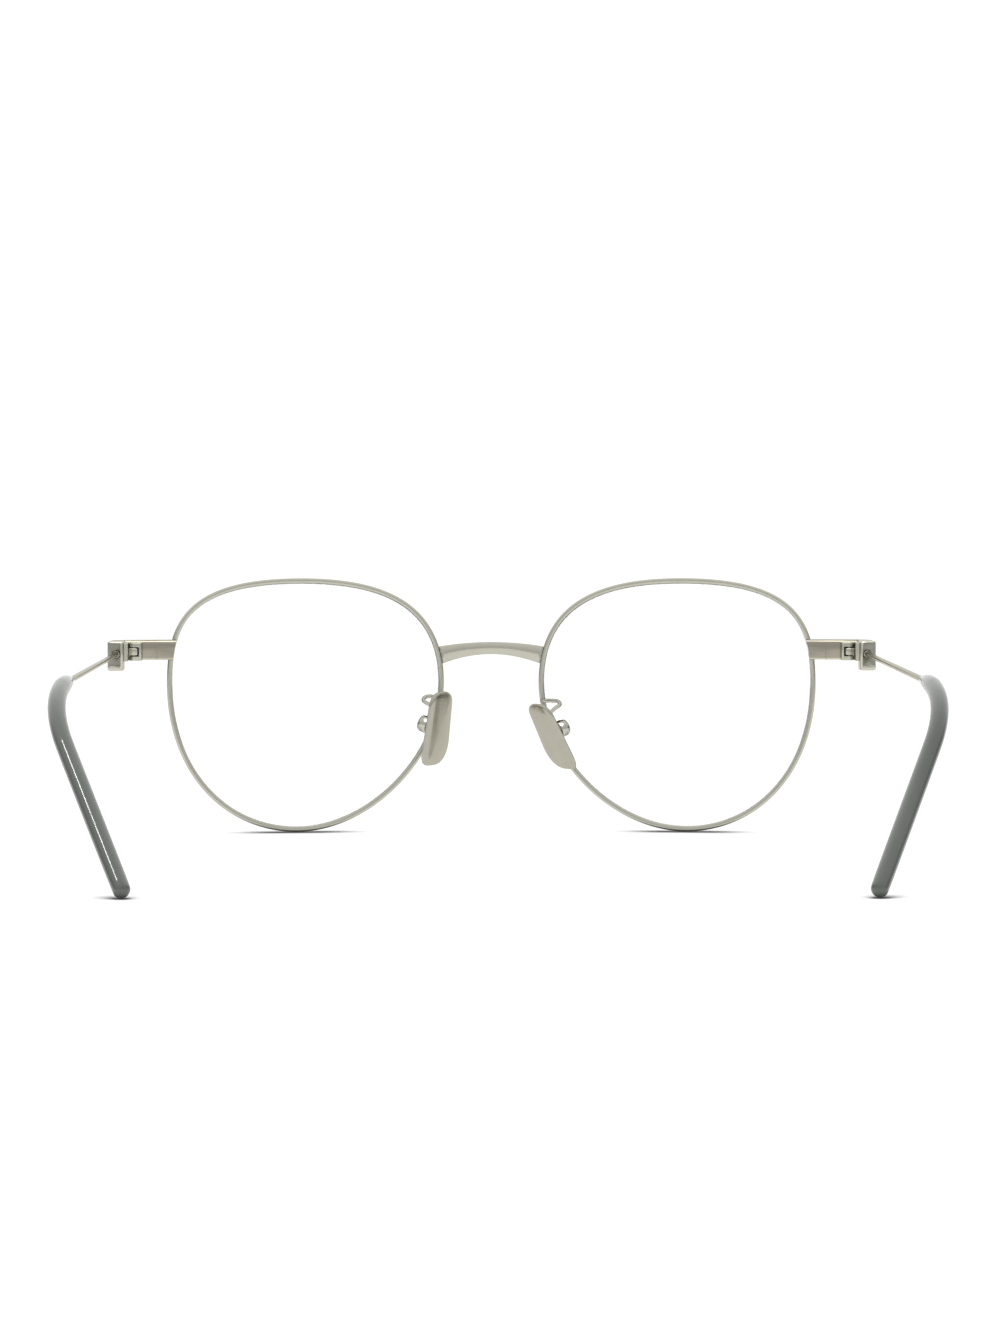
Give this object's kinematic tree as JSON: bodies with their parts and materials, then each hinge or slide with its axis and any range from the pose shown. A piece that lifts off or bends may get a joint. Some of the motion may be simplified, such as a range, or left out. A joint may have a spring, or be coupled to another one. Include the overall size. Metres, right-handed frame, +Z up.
{
  "type": "round wire eyeglasses",
  "caption": "Round wire eyeglasses with rounded panto rims, an arched bar bridge, swivelling metal nose pads, and folding wire temples with bent plastic ear tips.",
  "frame": {"origin": "on the table, in the middle of the footprint of the open glasses", "axes": "+X to the wearer's right, +Y where the wearer looks, +Z up"},
  "size_m": [0.1484, 0.1358, 0.0469],
  "materials": {
    "satin_metal": "satin, pale champagne silver",
    "polished_metal": "polished",
    "screw": "machined, slotted heads",
    "tip": "glossy grey",
    "lens": "clear demo lens"
  },
  "bodies": {
    "front": {"bridge": "satin_metal", "right_rim": "satin_metal", "right_lens": "lens", "right_endpiece": "satin_metal", "right_closing_block": "satin_metal", "right_closing_screw": "screw", "right_front_hinge_leaf": "satin_metal", "right_hinge_screw": "screw", "right_pad_arm": "polished_metal", "right_pad_box": "polished_metal", "right_pad_screw": "screw", "left_rim": "satin_metal", "left_lens": "lens", "left_endpiece": "satin_metal", "left_closing_block": "satin_metal", "left_closing_screw": "screw", "left_front_hinge_leaf": "satin_metal", "left_hinge_screw": "screw", "left_pad_arm": "polished_metal", "left_pad_box": "polished_metal", "left_pad_screw": "screw"},
    "right_temple": {"right_temple_hinge_leaf": "satin_metal", "right_temple_bracket": "satin_metal", "right_wire_ferrule": "polished_metal", "right_temple_wire": "polished_metal", "right_temple_tip": "tip"},
    "left_temple": {"left_temple_hinge_leaf": "satin_metal", "left_temple_bracket": "satin_metal", "left_wire_ferrule": "polished_metal", "left_temple_wire": "polished_metal", "left_temple_tip": "tip"},
    "right_pad": {"right_nose_pad": "polished_metal"},
    "left_pad": {"left_nose_pad": "polished_metal"}
  },
  "joints": [
    {"name": "right_temple_fold", "type": "hinge", "parent": "front", "child": "right_temple", "pos_m": [0.0657, 0.05624, 0.03371], "axis": [0, 0, -1], "range_deg": [0, 78]},
    {"name": "left_temple_fold", "type": "hinge", "parent": "front", "child": "left_temple", "pos_m": [-0.0657, 0.05624, 0.03371], "axis": [0, 0, 1], "range_deg": [0, 88]},
    {"name": "right_pad_swivel", "type": "hinge", "parent": "front", "child": "right_pad", "pos_m": [0.01285, 0.05584, 0.01958], "axis": [0.5299, -0.848, 0], "range_deg": [-30, 10]},
    {"name": "left_pad_swivel", "type": "hinge", "parent": "front", "child": "left_pad", "pos_m": [-0.0122, 0.05584, 0.02038], "axis": [0.5299, 0.848, 0], "range_deg": [-10.5, 29.5]}
  ]
}
